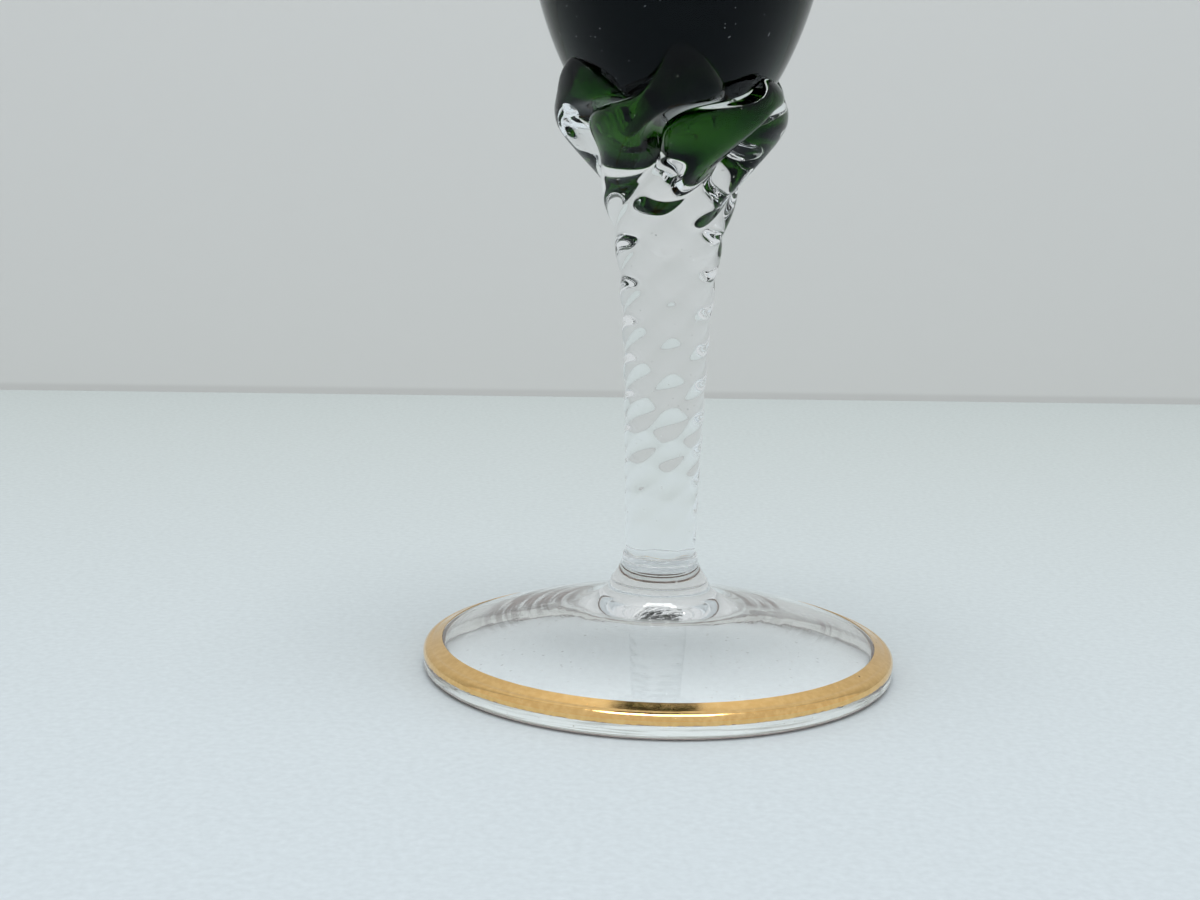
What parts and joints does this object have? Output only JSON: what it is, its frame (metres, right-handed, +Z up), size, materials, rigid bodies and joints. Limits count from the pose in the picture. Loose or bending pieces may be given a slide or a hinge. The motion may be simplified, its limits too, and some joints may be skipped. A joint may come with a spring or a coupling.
{
  "type": "stemmed glass",
  "caption": "Stemmed drinking glass: dark green tulip bowl in a clear petalled calyx, right-hand twisted ribbed stem, collar and round foot, with gilt bands on foot and lip.",
  "frame": {"origin": "middle of the ring that the foot stands on, at table height", "axes": "+Z up along the stem's axis, -Y towards the viewer of the picture, +X to the viewer's right"},
  "size_m": [0.0702, 0.0702, 0.1451],
  "materials": {
    "clear_glass": "polished, colourless",
    "green_glass": "polished, very dark green",
    "gilt": "burnished gold film, slightly worn"
  },
  "bodies": {
    "root": {"foot": "clear_glass", "foot_gilt_band": "gilt", "collar": "clear_glass", "stem": "clear_glass", "calyx": "clear_glass", "bowl": "green_glass", "lip_gilt_band": "gilt"}
  },
  "joints": []
}
